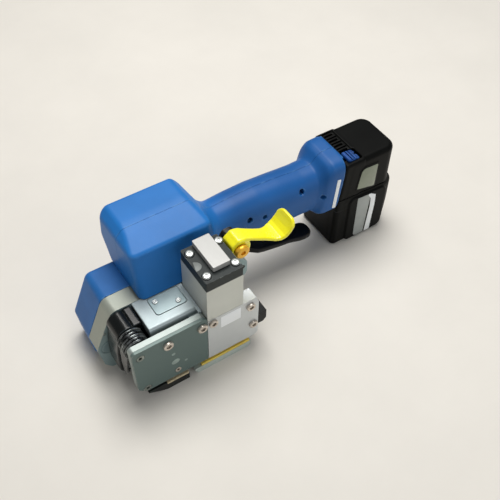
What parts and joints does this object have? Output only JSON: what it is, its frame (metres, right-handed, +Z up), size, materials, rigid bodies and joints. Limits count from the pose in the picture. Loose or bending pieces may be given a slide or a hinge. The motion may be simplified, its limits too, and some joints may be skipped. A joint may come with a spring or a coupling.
{
  "type": "battery strapping tool",
  "caption": "Hand-held battery tool that tensions plastic strap with a toothed wheel and friction-welds the overlap under its weld head.",
  "frame": {"origin": "on the underside of the base plate, below the left edge of the weld head, 25 mm behind the near face", "axes": "+X along the handle towards the battery, -Y the side the strap enters from, +Z up from the surface the tool stands on"},
  "size_m": [0.3624, 0.1333, 0.1434],
  "materials": {
    "base_plate": "ground steel",
    "front_foot": "black cast",
    "gripper_plate": "hardened, toothed",
    "wear_plate": "machined",
    "side_plate": "dark grey-green, satin",
    "side_frame": "machined",
    "side_screw_1": "bright screw",
    "side_screw_2": "bright screw",
    "side_countersunk_1": "bright screw",
    "side_countersunk_2": "bright screw",
    "axle_set_screw": "bright",
    "tension_head": "cast, satin",
    "head_cover": "satin",
    "cover_screw_1": "bright screw",
    "cover_screw_2": "bright screw",
    "rocker": "black, semi-gloss",
    "torsion_spring": "drawn spring wire",
    "tension_wheel": "knurled",
    "main_frame": "beige anodised",
    "belt_cover": "blue moulded",
    "drive_shaft": "ground",
    "driven_pulley": "machined",
    "motor_pulley": "machined",
    "drive_belt": "black",
    "drive_gear": "machined",
    "tension_gear": "machined",
    "motor": "plain can",
    "motor_shaft": "ground",
    "weld_front_plate": "bead-blasted",
    "front_screw_1": "bright screw",
    "front_screw_2": "bright screw",
    "front_screw_3": "bright screw",
    "weld_frame": "machined",
    "weld_block": "bead-blasted",
    "weld_cap": "black anodised",
    "cap_screw_1": "bright screw",
    "cap_screw_2": "bright screw",
    "cap_screw_3": "bright screw",
    "cap_screw_4": "bright screw",
    "name_block": "bright silver, blank",
    "eccentric_shaft": "ground",
    "eccentric_bearing_lower": "ground",
    "eccentric_bearing_upper": "ground",
    "welding_shoe": "hardened, toothed",
    "rear_block": "black",
    "weld_lever": "yellow",
    "lever_hub_bolt": "machined",
    "rocker_lever": "black",
    "rocker_lever_pin": "ground",
    "housing_near": "blue moulded",
    "housing_far": "blue moulded",
    "housing_screw_1": "bright screw",
    "housing_screw_2": "bright screw",
    "tension_button": "black",
    "switch_body": "black",
    "control_board": "green board",
    "battery_case": "black moulded",
    "cell_pack": "wrapped cells",
    "contact_block": "black",
    "battery_latch": "blue"
  },
  "bodies": {
    "tool_body": {"base_plate": "base_plate", "front_foot": "front_foot", "gripper_plate": "gripper_plate", "wear_plate": "wear_plate", "side_plate": "side_plate", "side_frame": "side_frame", "side_screw_1": "side_screw_1", "side_screw_2": "side_screw_2", "side_countersunk_1": "side_countersunk_1", "side_countersunk_2": "side_countersunk_2", "axle_set_screw": "axle_set_screw", "tension_head": "tension_head", "head_cover": "head_cover", "cover_screw_1": "cover_screw_1", "cover_screw_2": "cover_screw_2", "main_frame": "main_frame", "belt_cover": "belt_cover", "drive_belt": "drive_belt", "motor": "motor", "weld_front_plate": "weld_front_plate", "front_screw_1": "front_screw_1", "front_screw_2": "front_screw_2", "front_screw_3": "front_screw_3", "weld_frame": "weld_frame", "weld_block": "weld_block", "weld_cap": "weld_cap", "cap_screw_1": "cap_screw_1", "cap_screw_2": "cap_screw_2", "cap_screw_3": "cap_screw_3", "cap_screw_4": "cap_screw_4", "name_block": "name_block", "eccentric_bearing_lower": "eccentric_bearing_lower", "eccentric_bearing_upper": "eccentric_bearing_upper", "rear_block": "rear_block", "lever_hub_bolt": "lever_hub_bolt", "rocker_lever_pin": "rocker_lever_pin", "housing_near": "housing_near", "housing_far": "housing_far", "housing_screw_1": "housing_screw_1", "housing_screw_2": "housing_screw_2", "switch_body": "switch_body", "control_board": "control_board", "contact_block": "contact_block"},
    "motor_rotor": {"motor_shaft": "motor_shaft", "motor_pulley": "motor_pulley"},
    "drive_shaft_set": {"drive_shaft": "drive_shaft", "driven_pulley": "driven_pulley", "drive_gear": "drive_gear"},
    "rocker_set": {"rocker": "rocker", "torsion_spring": "torsion_spring"},
    "wheel_set": {"tension_wheel": "tension_wheel", "tension_gear": "tension_gear"},
    "eccentric_set": {"eccentric_shaft": "eccentric_shaft"},
    "shoe": {"welding_shoe": "welding_shoe"},
    "yellow_lever": {"weld_lever": "weld_lever"},
    "grip_lever": {"rocker_lever": "rocker_lever"},
    "button": {"tension_button": "tension_button"},
    "battery": {"battery_case": "battery_case", "cell_pack": "cell_pack"},
    "latch": {"battery_latch": "battery_latch"}
  },
  "joints": [
    {"name": "drive_spin", "type": "hinge", "parent": "tool_body", "child": "drive_shaft_set", "pos_m": [-0.062, 0, 0.042], "axis": [0, 1, 0], "continuous": true},
    {"name": "motor_spin", "type": "hinge", "parent": "tool_body", "child": "motor_rotor", "pos_m": [0.014, 0, 0.104], "axis": [0, 1, 0], "continuous": true},
    {"name": "rocker_swing", "type": "hinge", "parent": "tool_body", "child": "rocker_set", "pos_m": [-0.062, 0, 0.042], "axis": [0, -1, 0], "range_deg": [0, 6], "stiffness_Nm_per_rad": 4, "springref_deg": -3.44},
    {"name": "tension_wheel_spin", "type": "hinge", "parent": "rocker_set", "child": "wheel_set", "pos_m": [-0.033, 0, 0.032], "axis": [0, 1, 0], "continuous": true},
    {"name": "eccentric_spin", "type": "hinge", "parent": "tool_body", "child": "eccentric_set", "pos_m": [0.014, -0.002, 0.08], "axis": [0, 0, 1], "continuous": true},
    {"name": "shoe_slide", "type": "slide", "parent": "tool_body", "child": "shoe", "axis": [1, 0, 0], "range_m": [-0.0008, 0.0008]},
    {"name": "weld_lever_swing", "type": "hinge", "parent": "tool_body", "child": "yellow_lever", "pos_m": [0.048, 0, 0.126], "axis": [0, 1, 0], "range_deg": [0, 20], "stiffness_Nm_per_rad": 0.4, "springref_deg": -11.46},
    {"name": "rocker_lever_swing", "type": "hinge", "parent": "tool_body", "child": "grip_lever", "pos_m": [0.07, 0, 0.055], "axis": [0, -1, 0], "range_deg": [0, 10]},
    {"name": "button_press", "type": "slide", "parent": "tool_body", "child": "button", "axis": [0, 0, 1], "range_m": [0, 0.003], "stiffness_N_per_m": 600, "springref_m": -0.002},
    {"name": "battery_slide", "type": "slide", "parent": "tool_body", "child": "battery", "axis": [1, 0, 0], "range_m": [0, 0.06]},
    {"name": "latch_press", "type": "slide", "parent": "battery", "child": "latch", "axis": [0, 0, -1], "range_m": [0, 0.0015], "stiffness_N_per_m": 500, "springref_m": -0.002}
  ],
  "couplings": [
    {"joint": "motor_spin", "follows": "drive_spin", "ratio": 2.3571},
    {"joint": "tension_wheel_spin", "follows": "drive_spin", "ratio": -0.8},
    {"joint": "eccentric_spin", "follows": "drive_spin", "ratio": 1.7679},
    {"joint": "rocker_swing", "follows": "rocker_lever_swing", "ratio": 0.6}
  ]
}
